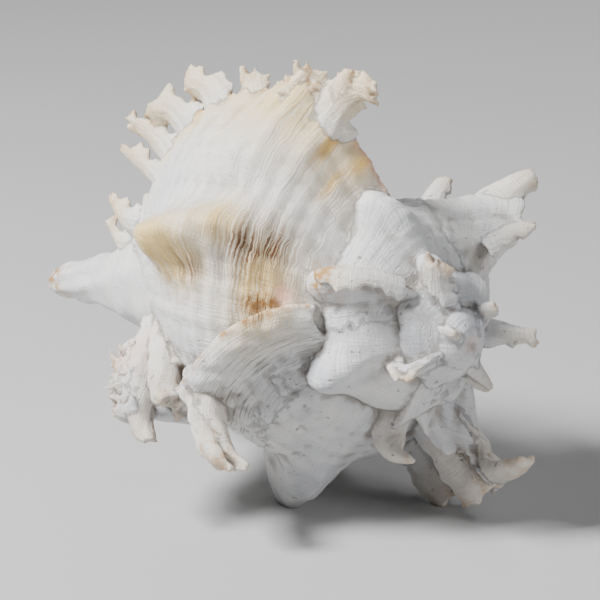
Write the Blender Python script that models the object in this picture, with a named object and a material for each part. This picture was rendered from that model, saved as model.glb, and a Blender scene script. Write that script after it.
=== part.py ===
# Ramose murex shell: one hollow solid, grown as a right-handed logarithmic spiral.
#
# A point of the shell is first given by three numbers, in the shell's own frame:
#   z    millimetres along the coiling axis, from the apex towards the canal
#   r    millimetres out from that axis
#   phi  degrees around the axis, growing with the animal; one whorl is 360
# The outer lip stands at LIP_PHI, and older parts have smaller phi.

import math

import bmesh
import bpy
import numpy as np
from mathutils import Vector

MM = 0.001

# Size of the adult shell, in millimetres at the outer lip
CANAL_END = 219.0
CANAL_BEND_FROM = 98.0
CANAL_SLOPE = 0.235
WALL = 4.5
LIP_WALL = 4.2
EDGE_WALL = 3.6
FROND_WALL = 3.0

# Growth: every turn the shell gets this many times larger
WHORL_GROWTH = 1.89
LIP_PHI = -20.0
FIRST_PHI = -1290.0
HOLLOW_FROM = -240.0

# How the shell lies on its resting points: directions of its axis and of phi 0 and 90
AXIS = np.array([-0.6288, 0.7771, 0.0287])
UP = np.array([0.1478, 0.0832, 0.9855])
SIDE = np.array([0.7634, 0.6239, -0.1672])

# Whorl outline at the lip, as z and r, from the suture over the shoulder to the canal
OUTLINE = [(42, 33), (50, 46), (58, 56), (66, 63), (76, 67), (89, 66), (103, 62),
           (119, 54), (137, 42), (155, 28), (172, 15)]

# Mesh fineness
VOXEL = 1.5
THINNING = 0.075

# Where the apex comes to lie, so that the shell rests on z 0 with its box centred, in millimetres
APEX_AT = (62.25, -80.2, 63.5)

# Knobs between the varices: phi, height at lip size, width in degrees, share along the outline
# where they are tallest, and reach from there towards the suture
KNOBS = [(-76, 15, 8, 0.40, 0.13), (-176, 26.5, 9, 0.40, 0.12), (-386, 17, 10, 0.33, 0.17),
         (-480, 22, 12, 0.33, 0.15), (-580, 8, 12, 0.33, 0.17), (-677, 11, 12, 0.33, 0.17)]

# Varices: the edge of each old lip, as (share along the outline, z, r, phi),
# and the number of degrees over which the shell flares out to it
LIP_EDGE = [(0.0, 38, 38, -14), (0.1, 43, 53, -20), (0.18, 48, 67, -24), (0.26, 58, 76, -25),
            (0.33, 68, 77, -25), (0.4, 80, 72, -25), (0.48, 95, 69, -25), (0.57, 110, 64, -25),
            (0.66, 125, 57, -25), (0.74, 137, 49, -25), (0.81, 147, 39, -25), (0.88, 157, 31, -25),
            (0.95, 166, 21, -25), (1.0, 175, 15, -25)]
EDGE_1 = [(0.0, 38, 36, -82), (0.07, 41, 41, -84), (0.13, 45, 49, -88), (0.19, 50, 57, -94),
          (0.25, 57, 61, -101), (0.3, 65, 63, -110), (0.36, 73, 64, -117), (0.45, 84, 67, -120),
          (0.55, 96, 67, -120), (0.65, 106, 60, -120), (0.75, 116, 47, -121), (0.88, 131, 29, -124),
          (1.0, 146, 14, -128)]
EDGE_2 = [(0.0, 30, 27, -188), (0.07, 26, 41, -199), (0.12, 18, 49, -207), (0.17, 15, 57, -211),
          (0.22, 21, 62, -212), (0.27, 29, 66, -212), (0.33, 37, 68, -212), (0.39, 46, 66, -212),
          (0.46, 58, 65, -212), (0.55, 76, 60, -212), (0.65, 91, 51, -213), (0.8, 106, 34, -216),
          (1.0, 122, 12, -220)]
EDGE_3 = [(0.0, 26, 22, -288), (0.08, 29, 27, -300), (0.13, 26, 35, -311), (0.17, 21.5, 45, -315),
          (0.21, 26, 49, -316), (0.26, 32, 56, -316), (0.31, 39, 58, -316), (0.36, 45, 49, -316),
          (0.43, 54, 44, -316), (0.55, 70, 43, -316), (0.75, 88, 28, -318), (1.0, 104, 11, -320)]
EDGE_4 = [(0.0, 20, 18, -402), (0.15, 26, 31, -415), (0.3, 33, 39, -424), (0.45, 44, 37, -428),
          (0.7, 62, 22, -431), (1.0, 85, 9, -433)]
EDGE_5 = [(0.0, 17, 14, -514), (0.15, 23, 25, -527), (0.3, 31, 32, -535), (0.45, 38, 31, -538),
          (0.7, 52, 18, -541), (1.0, 70, 7, -543)]

# How a varix rises over its last degrees: as a sweeping trumpet, or as a rounded roll
SWEEP = [(0.0, 0.0), (0.3, 0.07), (0.55, 0.27), (0.75, 0.53), (1.0, 1.0)]
ROLL = [(0.0, 0.0), (0.3, 0.0), (0.48, 0.08), (0.66, 0.75), (0.82, 1.14), (1.0, 1.0)]
VARICES = [(EDGE_1, 38, ROLL), (EDGE_2, 40, SWEEP), (EDGE_3, 36, SWEEP), (EDGE_4, 30, ROLL),
           (EDGE_5, 34, SWEEP)]

# Small varices of the spire: phi, flare over the whorl at lip size, degrees of flare
SPIRE_VARICES = [(-626, 18, 30), (-735, 24, 30), (-836, 24, 28), (-943, 20, 28), (-1038, 18, 28),
                 (-1140, 16, 28)]

# Which way the gutter of a frond opens, as a world direction; None is the way that the shell grows
AWAY = (-0.4, 0.9, 0.3)
LEFT = (-0.9, 0.3, 0.2)
DOWN = (-0.3, 0.3, -0.9)

# Fronds: points (z, r, phi) from root to tip, half width at the root and at the tip, and the way
FRONDS = [
    # On the outer lip, from the suture to the canal
    ([(58, 60, -28), (52, 65.5, -25), (47.5, 73, -23), (42.5, 77, -22), (37, 78, -22),
      (34, 77, -22)], 7.5, 4, None),
    ([(56, 64, -28), (50, 72, -25), (45, 78, -23.5), (42, 83, -23)], 6, 3.4, None),
    ([(62, 60, -28), (60.8, 67, -25), (61, 72, -23), (62, 77, -22), (62.6, 82, -22)], 10, 7.5, None),
    ([(68, 60, -28), (70, 64, -25), (74, 69, -23), (77, 73, -22)], 8, 5, None),
    ([(84, 58, -28), (86, 62, -25), (89.5, 67.5, -23), (92, 72, -22), (92.7, 75.5, -22)],
     9.5, 7, None),
    ([(101, 54, -28), (105, 58, -25), (110, 64.4, -23), (115, 68, -22), (120.4, 69.4, -22),
      (126, 68, -22)], 11, 5.5, None),
    ([(115, 46, -28), (119.5, 50.4, -25), (126.4, 56.8, -23), (133, 60.6, -22), (140, 62, -22),
      (148, 60, -22)], 11, 5.2, None),
    ([(127, 39, -28), (132, 43, -25), (140, 49, -23), (147, 53.5, -22), (153, 56.6, -22),
      (159.5, 58.5, -22)], 9.5, 4.5, None),
    ([(137, 31, -28), (141, 35, -25), (148, 39.4, -23), (154.7, 43, -22), (160, 46, -22),
      (166, 49.5, -22)], 7.5, 4, None),
    ([(156, 22, -28), (168, 24, -25), (177, 32, -21)], 6.5, 4, None),
    ([(164, 15, -28), (174, 15, -25), (182, 23, -21)], 5, 3.4, None),
    # On the first varix back from the lip
    ([(84, 50, -116), (78, 55, -118), (69, 62.5, -119.5), (61.5, 67.5, -121.5), (54, 71, -124),
      (47, 73, -126), (41, 73, -128)], 7, 3, AWAY),
    # On the second varix: its torn sheet and the fronds behind, on which the shell rests
    ([(40, 34, -214), (35.5, 42, -214), (29.7, 49.5, -213), (23.7, 56, -212), (20, 61, -212)],
     8.5, 7.5, AWAY),
    ([(54, 44, -213), (50, 50, -213), (46, 57.8, -213), (41, 62.6, -212), (39, 68, -212)],
     8.5, 7.5, AWAY),
    ([(84, 50, -217), (92, 60, -210), (104, 70, -207)], 9, 3.6, None),
    ([(100, 34, -218), (112, 50, -210), (126, 65, -204)], 9, 3.6, None),
    # On the third varix, at the upper right
    ([(44, 34, -320), (41, 48, -318), (37, 66, -316)], 8, 4, None),
    ([(29, 34, -320), (25, 41, -318), (20, 47.5, -316)], 6, 3, None),
    ([(60, 38, -320), (65, 46, -317), (68, 54, -316)], 6, 3.8, None),
    ([(76, 30, -320), (84, 36, -320), (90, 40, -320)], 6, 3, None),
    # The torn crown of the seventh varix
    ([(18, 13, -735), (17.5, 20, -738), (15.5, 28, -740)], 7, 6, None),
    # The rounded crest of the fourth varix
    ([(21, 22, -411), (24, 27.5, -417), (27.5, 33, -423), (31.5, 36, -426.5), (37, 38, -430)],
     4.5, 5.6, DOWN),
]

# Horns, nearly solid: points (z, r, phi) from root to tip, half width at the root and at the tip,
# and the way that their shallow gutter opens
HORNS = [
    # The crusted mass and the leaf of the first varix
    ([(108, 40, -114), (98, 46, -116), (90, 52, -117.5), (82, 57, -119)], 8, 5.5, AWAY),
    ([(71, 56, -119), (62, 64, -122.5), (55, 68.5, -125.5), (48, 71, -127.5)], 5, 2.4, AWAY),
    ([(104, 42, -116), (97, 50, -117), (88, 58, -119), (80, 64, -120.5), (73, 67.5, -122)],
     9, 6, AWAY),
    ([(112, 42, -117), (105.5, 49, -118), (96, 60, -120), (87.5, 68.7, -122), (80.7, 75, -124),
      (73, 79, -126)], 9, 3, AWAY),
    ([(114, 36, -121), (115, 44, -121), (113, 52, -121)], 7, 2.6, AWAY),
    # The shoulder spines of the first, second and fifth varix
    ([(62, 38, -106), (68, 46, -113), (71, 52, -119.5), (69, 57, -122), (64, 62.5, -124.5),
      (58, 66.5, -127), (51, 69, -128.5), (45, 70, -130), (39, 69, -131)], 12, 1.8, LEFT),
    ([(46, 40, -222), (38, 50, -219), (25, 55, -217), (10, 50, -217), (0, 44, -218)], 8, 2.8, AWAY),
    ([(31, 16, -537), (33, 24, -540), (36, 31, -540), (35, 37, -540), (29.5, 40, -540),
      (22.7, 40.3, -540)], 7.5, 2.0, AWAY),
    ([(40, 28, -541), (43, 35, -542), (44.5, 41, -542)], 5, 2.4, None),
    # On the spire
    ([(22, 16, -624), (18, 22, -627), (15, 28, -628), (13, 33, -629)], 6, 3.4, None),
    ([(16, 11, -836), (15, 18, -836), (12.5, 23, -835)], 6, 4.4, None),
    ([(14, 10, -938), (11, 15, -940), (8, 20, -943)], 5, 2.2, None),
    ([(13, 8, -1034), (11, 12, -1037), (8.5, 16, -1038)], 4, 2.6, None),
    ([(9, 6, -1138), (6, 10, -1142), (1, 12, -1146)], 3.6, 2.0, None),
]

# Shape of a frond and of a horn: how its width tapers, and how far around its centre it reaches,
# in degrees to each side of its back
FROND_TAPER = 0.9
FROND_REACH = 105
HORN_TAPER = 2.0
HORN_REACH = 135
HORN_FILL = 0.85


# Curves and the growth law


def through(knots, at):
    """Values at the given places of a smooth curve through knots, a list of (place, value, ...)."""
    table = np.array(knots, dtype=float)
    places, values = table[:, 0], table[:, 1:]
    slope = np.gradient(values, places, axis=0)
    at = np.clip(np.asarray(at, dtype=float), places[0], places[-1])
    left = np.clip(np.searchsorted(places, at, side="right") - 1, 0, len(places) - 2)
    span = (places[left + 1] - places[left])[..., None]
    t = ((at - places[left])[..., None]) / span
    a, b = values[left], values[left + 1]
    sa, sb = slope[left] * span, slope[left + 1] * span
    return (a * (2 * t**3 - 3 * t**2 + 1) + sa * (t**3 - 2 * t**2 + t)
            + b * (3 * t**2 - 2 * t**3) + sb * (t**3 - t**2))


def with_places(points):
    """The points with their share of the length along them in front."""
    table = np.array(points, dtype=float)
    steps = np.linalg.norm(np.diff(table, axis=0), axis=1)
    shares = np.concatenate([[0.0], np.cumsum(steps)]) / steps.sum()
    return np.column_stack([shares, table])


def bump(x):
    return np.exp(-np.square(x))


def smooth_step(x):
    x = np.clip(x, 0.0, 1.0)
    return x * x * (3 - 2 * x)


OUTLINE_KNOTS = with_places(OUTLINE)


def growth(phi):
    """Size of the whorl at phi, with 1 at the outer lip."""
    return WHORL_GROWTH ** ((np.asarray(phi) - LIP_PHI) / 360.0)


def outline_normal(v):
    """Unit (z, r) direction that points out of the whorl at share v along its outline."""
    step = 0.004
    d = through(OUTLINE_KNOTS, v + step) - through(OUTLINE_KNOTS, v - step)
    n = np.stack([-d[..., 1], d[..., 0]], axis=-1)
    return n / np.linalg.norm(n, axis=-1, keepdims=True)


def knob_height(phi, v):
    """Height of the knobs between varices, at lip size, as axial ridges that peak at the shoulder."""
    height = np.zeros(np.broadcast(phi, v).shape)
    for at, tall, width, peak, reach in KNOBS:
        lean = 60 * np.clip(peak - v, 0, None)
        along = np.where(v < peak, bump((v - peak) / reach), bump((v - peak) / 0.11))
        height += tall * bump((phi - lean - at) / width) * along
    return height


def whorl(phi, v):
    """The (z, r) of the whorl's outer surface, without flares."""
    phi, v = np.broadcast_arrays(np.asarray(phi, float), np.asarray(v, float))
    zr = through(OUTLINE_KNOTS, v) + outline_normal(v) * knob_height(phi, v)[..., None]
    return zr * growth(phi)[..., None]


def canal_bend(z):
    """How far the axis has bent away from UP at z, because the canal curves back."""
    return CANAL_SLOPE * 8 * np.log1p(np.exp((z - CANAL_BEND_FROM) / 8))


def place(z, r, phi):
    """World points, in metres before the shell is set down, of shell coordinates."""
    z, r, phi = np.broadcast_arrays(np.asarray(z, float), r, phi)
    angle = np.radians(phi)
    up = r * np.cos(angle) - canal_bend(z)
    side = r * np.sin(angle)
    return (z[..., None] * AXIS + up[..., None] * UP + side[..., None] * SIDE) * MM


# Closed meshes from grids of points


def closed_skin(outer, inner):
    """Points and triangles of the closed solid between two grids of points of the same shape."""
    rows, columns = outer.shape[:2]
    count = rows * columns
    points = np.concatenate([outer.reshape(-1, 3), inner.reshape(-1, 3)])
    index = np.arange(count).reshape(rows, columns)
    a, b = index[:-1, :-1].ravel(), index[:-1, 1:].ravel()
    c, d = index[1:, 1:].ravel(), index[1:, :-1].ravel()
    front = np.concatenate([np.stack([a, b, c], 1), np.stack([a, c, d], 1)])
    back = front[:, ::-1] + count
    rim = np.concatenate([index[0, :], index[1:, -1], index[-1, -2::-1], index[-2:0:-1, 0]])
    after = np.roll(rim, -1)
    sides = np.concatenate([np.stack([after, rim, rim + count], 1),
                            np.stack([after, rim + count, after + count], 1)])
    return points, np.concatenate([front, back, sides])


class Heap:
    """Closed solids that overlap, collected to be joined into one shell."""

    def __init__(self):
        self.count = 0
        self.points = []
        self.faces = []

    def add(self, outer, inner):
        points, faces = closed_skin(outer, inner)
        self.points.append(points)
        self.faces.append(faces + self.count)
        self.count += len(points)

    def mesh(self, name):
        mesh = bpy.data.meshes.new(name)
        points, faces = np.concatenate(self.points), np.concatenate(self.faces)
        mesh.from_pydata(points.tolist(), [], faces.tolist())
        mesh.update()
        return mesh


# The whorls


def add_older_whorls(heap):
    """The spire and the first part of the last whorl, filled to the axis."""
    phi, v = np.meshgrid(np.arange(FIRST_PHI, HOLLOW_FROM, 4.0), np.linspace(0, 1, 40), indexing="ij")
    zr = whorl(phi, v)
    heap.add(place(zr[..., 0], zr[..., 1], phi), place(zr[..., 0], 0.3 * growth(phi), phi))


def add_last_whorl(heap):
    """The wall around the hollow, up to just behind the outer lip."""
    phi, v = np.meshgrid(np.arange(HOLLOW_FROM - 16, LIP_PHI - 14, 3.0), np.linspace(0, 1, 48),
                         indexing="ij")
    outer = whorl(phi, v)
    inner = outer - outline_normal(v) * (WALL * growth(phi) ** 0.3)[..., None]
    heap.add(place(outer[..., 0], outer[..., 1], phi), place(inner[..., 0], inner[..., 1], phi))


def add_axis(heap):
    """The columella, a spindle around the axis that the last whorl turns around."""
    spindle = [(40, 17), (62, 17), (80, 15), (105, 13), (135, 11), (160, 10), (178, 6)]
    z, phi = np.meshgrid(np.linspace(40, 178, 30), np.linspace(0, 352, 23), indexing="ij")
    r = through(spindle, z)[..., 0]
    heap.add(place(z, r, phi), place(z, 0.2, phi))


def add_canal(heap):
    """The siphonal canal, a tapering gutter that stays open towards the aperture."""
    radius = [(134, 25), (155, 19), (169, 15), (180, 11), (200, 7.6), (214, 5.2), (CANAL_END, 4)]
    gap = [(134, 75), (158, 34), (180, 22), (CANAL_END, 22)]
    thick = [(134, 17), (160, 10), (180, 3.8), (CANAL_END, 2.8)]
    z, t = np.meshgrid(np.linspace(134, CANAL_END, 34), np.linspace(0, 1, 30), indexing="ij")
    half = through(gap, z)[..., 0]
    phi = 38 + half + (360 - 2 * half) * t
    r = through(radius, z)[..., 0]
    inner_side = through(thick, z)[..., 0]
    wall = inner_side + (0.8 * WALL - inner_side) * smooth_step((t - 0.55) / 0.3)
    heap.add(place(z, r, phi), place(z, np.maximum(r - wall, 1.2), phi))


# The varices and their fronds


def add_flare(heap, edge, degrees, profile, hollow=False):
    """The shell flaring out to an old or the present lip; hollow keeps its inside open."""
    g, v = np.meshgrid(np.linspace(0, 1, 30), np.linspace(0, 1, 90), indexing="ij")
    edge_at = through(edge, v)
    phi = edge_at[..., 2] - degrees * (1 - g)
    rise = (edge_at[..., :2] - whorl(edge_at[..., 2], v)) * through(profile, g)
    outer = whorl(phi, v) + rise
    filled = 1 - smooth_step((g - 0.55) / 0.4)
    depth = LIP_WALL if hollow else EDGE_WALL + (filled * np.linalg.norm(rise, axis=-1))[..., None]
    inner = outer - outline_normal(v) * depth
    heap.add(place(outer[..., 0], outer[..., 1], phi), place(inner[..., 0], inner[..., 1], phi))


def spire_edge(phi, flare):
    """The edge of a small varix: the whorl's outline moved out by the flare."""
    knots = []
    for v, share in ((0.0, 0.1), (0.15, 0.6), (0.3, 1.0), (0.45, 0.7), (0.7, 0.3), (1.0, 0.0)):
        at = phi + 30 * (0.28 - v) if v < 0.28 else phi
        zr = whorl(at, v) + outline_normal(v) * flare * share * growth(at)
        knots.append((v, zr[0], zr[1], at))
    return knots


def opening_way(points, tangent, way):
    """Unit directions, square to the tangent, in which the gutter opens."""
    if way is None:
        way = place(points[0][0], points[0][1], points[0][2] + 2) - place(*points[0])
    front = np.array(way) / np.linalg.norm(way)
    front = front - tangent * (tangent @ front)[:, None]
    return front / np.linalg.norm(front, axis=1, keepdims=True)


def add_frond(heap, points, root, tip, way, horn=False):
    """A frond with an open gutter on one side, or a nearly solid horn."""
    knots = with_places([tuple(place(*p) / MM) for p in points])
    t, a = np.meshgrid(np.linspace(0, 1, 18), np.linspace(-1, 1, 13), indexing="ij")
    along = t[:, 0]
    centre = through(knots, along)
    tangent = np.gradient(centre, axis=0)
    tangent /= np.linalg.norm(tangent, axis=1, keepdims=True)
    front = opening_way(points, tangent, way)
    across = np.cross(tangent, front)
    half = root + (tip - root) * along ** (HORN_TAPER if horn else FROND_TAPER)
    wall = HORN_FILL * half if horn else np.minimum(FROND_WALL, 0.75 * half)
    angle = a * math.radians(HORN_REACH if horn else FROND_REACH)

    def section(radius):
        side = radius[:, None, None] * np.sin(angle)[..., None] * across[:, None]
        back = radius[:, None, None] * np.cos(angle)[..., None] * front[:, None] * 0.8
        return (centre[:, None] + side - back) * MM

    heap.add(section(half), section(half - wall))


# Joining, setting down and finishing


def joined(heap):
    """One closed skin around all the overlapping solids, thinned to the triangle budget."""
    crowd = bpy.data.objects.new("crowd", heap.mesh("crowd"))
    bpy.context.scene.collection.objects.link(crowd)
    remesh = crowd.modifiers.new("Join", "REMESH")
    remesh.mode = "VOXEL"
    remesh.voxel_size = VOXEL * MM
    smooth = crowd.modifiers.new("Smooth", "SMOOTH")
    smooth.factor = 0.5
    smooth.iterations = 2
    thin = crowd.modifiers.new("Thin", "DECIMATE")
    thin.ratio = THINNING
    graph = bpy.context.evaluated_depsgraph_get()
    mesh = bpy.data.meshes.new_from_object(crowd.evaluated_get(graph))
    bpy.data.objects.remove(crowd)
    return mesh


def set_down(mesh):
    """Moves the apex to its place and rubs the resting points flat on the ground plane."""
    bm = bmesh.new()
    bm.from_mesh(mesh)
    bmesh.ops.translate(bm, verts=bm.verts, vec=Vector(APEX_AT) * MM)
    whole = bm.verts[:] + bm.edges[:] + bm.faces[:]
    cut = bmesh.ops.bisect_plane(bm, geom=whole, plane_co=(0, 0, 0), plane_no=(0, 0, 1), clear_inner=True)
    rim = [e for e in cut["geom_cut"] if isinstance(e, bmesh.types.BMEdge)]
    bmesh.ops.edgeloop_fill(bm, edges=rim)
    bmesh.ops.triangulate(bm, faces=bm.faces)
    bmesh.ops.recalc_face_normals(bm, faces=bm.faces)
    bm.to_mesh(mesh)
    bm.free()


def shell_material():
    material = bpy.data.materials.new("chalky_shell")
    material.use_nodes = True
    surface = material.node_tree.nodes["Principled BSDF"]
    surface.inputs["Base Color"].default_value = (0.82, 0.79, 0.74, 1)
    surface.inputs["Roughness"].default_value = 0.55
    surface.inputs["Metallic"].default_value = 0.0
    return material


def main():
    for thing in list(bpy.data.objects):
        bpy.data.objects.remove(thing)
    heap = Heap()
    add_older_whorls(heap)
    add_last_whorl(heap)
    add_axis(heap)
    add_canal(heap)
    add_flare(heap, LIP_EDGE, 40, SWEEP, hollow=True)
    for edge, degrees, profile in VARICES:
        add_flare(heap, edge, degrees, profile)
    for phi, flare, degrees in SPIRE_VARICES:
        add_flare(heap, spire_edge(phi, flare), degrees, ROLL)
    for frond in FRONDS:
        add_frond(heap, *frond)
    for horn in HORNS:
        add_frond(heap, *horn, horn=True)
    mesh = joined(heap)
    set_down(mesh)
    mesh.name = "shell"
    mesh.materials.append(shell_material())
    mesh.shade_smooth()
    bpy.context.scene.collection.objects.link(bpy.data.objects.new("shell", mesh))


main()
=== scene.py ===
# Looks of the ramose murex shell: the same spiral as the part, with finer folds, frills and stains.
#
# A point of the shell is first given by three numbers, in the shell's own frame:
#   z    millimetres along the coiling axis, from the apex towards the canal
#   r    millimetres out from that axis
#   phi  degrees around the axis, growing with the animal; one whorl is 360
# A share v runs along a whorl's outline, from 0 at the suture to 1 at the canal.

import math

import bmesh
import bpy
import numpy as np
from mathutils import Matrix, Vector, noise
from mathutils.bvhtree import BVHTree


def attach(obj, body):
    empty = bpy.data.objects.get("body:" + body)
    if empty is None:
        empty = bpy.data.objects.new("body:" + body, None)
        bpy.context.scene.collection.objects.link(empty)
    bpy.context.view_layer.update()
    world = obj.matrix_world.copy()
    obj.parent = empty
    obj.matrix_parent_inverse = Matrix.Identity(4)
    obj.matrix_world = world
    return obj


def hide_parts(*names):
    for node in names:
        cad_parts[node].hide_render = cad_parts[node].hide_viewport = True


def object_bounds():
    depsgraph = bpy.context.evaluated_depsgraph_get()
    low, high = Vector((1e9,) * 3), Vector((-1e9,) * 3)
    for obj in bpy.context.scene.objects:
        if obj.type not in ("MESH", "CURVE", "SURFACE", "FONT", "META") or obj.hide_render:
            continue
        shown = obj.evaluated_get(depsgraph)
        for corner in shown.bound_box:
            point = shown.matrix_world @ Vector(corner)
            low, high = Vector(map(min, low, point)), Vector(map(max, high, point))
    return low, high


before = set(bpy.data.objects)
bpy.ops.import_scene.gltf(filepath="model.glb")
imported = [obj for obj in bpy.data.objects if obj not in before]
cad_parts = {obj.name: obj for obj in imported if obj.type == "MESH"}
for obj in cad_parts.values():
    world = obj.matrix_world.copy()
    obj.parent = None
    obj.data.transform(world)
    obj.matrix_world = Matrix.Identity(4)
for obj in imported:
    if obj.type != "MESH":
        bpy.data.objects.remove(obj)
CAD_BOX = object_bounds()

MM = 0.001

# The siphonal canal: where it ends along the axis, from where it bends, how steeply and how gently
CANAL_END = 219.0
CANAL_BEND_FROM = 98.0
CANAL_SLOPE = 0.235
CANAL_EASE = 8

# Thickness of the wall, of a varix and of a frond, in millimetres
WALL = 4.5
EDGE_WALL = 3.0
FROND_WALL = 2.4

# How far a varix lies above the whorl that it grows on, so that the two skins never cross
SKIN_LIFT = 0.25

# Growth: every turn the shell gets this many times larger
WHORL_GROWTH = 1.89
LIP_PHI = -20.0
FIRST_PHI = -1290.0
HOLLOW_FROM = -240.0

# How the shell lies on its resting points: directions of its axis and of phi 0 and 90
AXIS = np.array([-0.6288, 0.7771, 0.0287])
UP = np.array([0.1478, 0.0832, 0.9855])
SIDE = np.array([0.7634, 0.6239, -0.1672])

# Where the apex lies, in millimetres
APEX_AT = (62.25, -80.2, 63.5)

# Whorl outline at the lip, as z and r, from the suture over the shoulder to the canal
OUTLINE = [(42, 33), (50, 46), (58, 56), (66, 63), (76, 67), (89, 66), (103, 62),
           (119, 54), (137, 42), (155, 28), (172, 15)]
OUTLINE_LENGTH = 175.0
SHOULDER_RADIUS = 60.0

# Fineness of the grids that are joined: points along the outline, then degrees from row to row for
# the whorls or rows for a flare; and for a frond the points around it and along it
OLDER_GRID = (110, 2.0)
LAST_GRID = (150, 1.5)
FLARE_GRID = (260, 70)
FROND_GRID = (49, 60)

VOXEL = 0.8
SMOOTHINGS = 2
LUMPS = 0.35
TRIANGLES = 190000

# Knobs between the varices: phi, height at lip size, width in degrees, share along the outline
# where they are tallest, and reach from there towards the suture; then, for all of them, the reach
# towards the canal and the lean in degrees for each share of the outline
KNOB_REACH = 0.11
KNOB_LEAN = 60
KNOBS = [(-76, 15, 7, 0.40, 0.17), (-57, -6, 6, 0.34, 0.12), (-176, 26.5, 9, 0.40, 0.12),
         (-386, 17, 10, 0.33, 0.17), (-480, 22, 12, 0.33, 0.15), (-580, 8, 11, 0.33, 0.17),
         (-677, 11, 10, 0.33, 0.17), (-785, 8, 9, 0.33, 0.17), (-888, 8, 9, 0.33, 0.17)]

# Varices: the edge of each old lip, as (share along the outline, z, r, phi),
# and the number of degrees over which the shell flares out to it
LIP_EDGE = [(0.0, 38, 38, -14), (0.1, 43, 53, -20), (0.18, 48, 67, -24), (0.26, 58, 76, -25),
            (0.33, 68, 77, -25), (0.4, 80, 72, -25), (0.48, 95, 69, -25), (0.57, 110, 64, -25),
            (0.66, 125, 57, -25), (0.74, 137, 49, -25), (0.81, 147, 39, -25), (0.88, 157, 31, -25),
            (0.95, 166, 21, -25), (1.0, 175, 15, -25)]
EDGE_1 = [(0.0, 38, 36, -82), (0.07, 41, 41, -84), (0.13, 45, 49, -88), (0.19, 50, 57, -94),
          (0.25, 57, 61, -101), (0.3, 65, 63, -110), (0.36, 73, 64, -117), (0.45, 84, 67, -120),
          (0.55, 96, 67, -120), (0.65, 106, 60, -120), (0.75, 116, 47, -121), (0.88, 131, 29, -124),
          (1.0, 146, 14, -128)]
EDGE_2 = [(0.0, 30, 27, -188), (0.07, 26, 41, -199), (0.12, 18, 49, -207), (0.17, 15, 57, -211),
          (0.22, 21, 62, -212), (0.27, 29, 66, -212), (0.33, 37, 68, -212), (0.39, 46, 66, -212),
          (0.46, 58, 65, -212), (0.55, 76, 60, -212), (0.65, 91, 51, -213), (0.8, 106, 34, -216),
          (1.0, 122, 12, -220)]
EDGE_3 = [(0.0, 26, 22, -288), (0.08, 29, 27, -300), (0.13, 26, 35, -311), (0.17, 21.5, 45, -315),
          (0.21, 26, 49, -316), (0.26, 32, 56, -316), (0.31, 39, 58, -316), (0.36, 45, 49, -316),
          (0.43, 54, 44, -316), (0.55, 70, 43, -316), (0.75, 88, 28, -318), (1.0, 104, 11, -320)]
EDGE_4 = [(0.0, 20, 18, -402), (0.15, 26, 31, -415), (0.3, 33, 39, -424), (0.45, 44, 37, -428),
          (0.7, 62, 22, -431), (1.0, 85, 9, -433)]
EDGE_5 = [(0.0, 17, 14, -514), (0.15, 23, 25, -527), (0.3, 31, 32, -535), (0.45, 38, 31, -538),
          (0.7, 52, 18, -541), (1.0, 70, 7, -543)]

# How a varix rises over its last degrees: as a sweeping trumpet, or as a rounded roll
SWEEP = [(0.0, 0.0), (0.3, 0.07), (0.55, 0.27), (0.75, 0.53), (1.0, 1.0)]
ROLL = [(0.0, 0.0), (0.3, 0.0), (0.48, 0.08), (0.66, 0.75), (0.82, 1.14), (1.0, 1.0)]

# The degrees over which the present lip flares out
LIP_DEGREES = 40

# For each varix its edge, degrees, rise, height of its folds, and how deep its growth grooves are
VARICES = [(EDGE_1, 38, ROLL, 0.0, 1.0), (EDGE_2, 40, SWEEP, 1.1, 0.25),
           (EDGE_3, 36, SWEEP, 0.7, 0.1), (EDGE_4, 30, ROLL, 0.2, 0.2),
           (EDGE_5, 34, SWEEP, 0.3, 0.2)]

# The outline of a small varix of the spire: share along the outline, and share of its flare there;
# its part before the crest grew a little later, by so many degrees for each share
SPIRE_PROFILE = [(0.0, 0.1), (0.15, 0.6), (0.3, 1.0), (0.45, 0.7), (0.7, 0.3), (1.0, 0.0)]
SPIRE_CREST = 0.28
SPIRE_LEAN = 30
SPIRE_GROOVE = 0.2

# Small varices of the spire: phi, flare over the whorl at lip size, degrees of flare
SPIRE_VARICES = [(-626, 18, 30), (-735, 24, 30), (-836, 24, 26), (-943, 15, 26), (-1038, 12, 26),
                 (-1140, 8, 26)]

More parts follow.
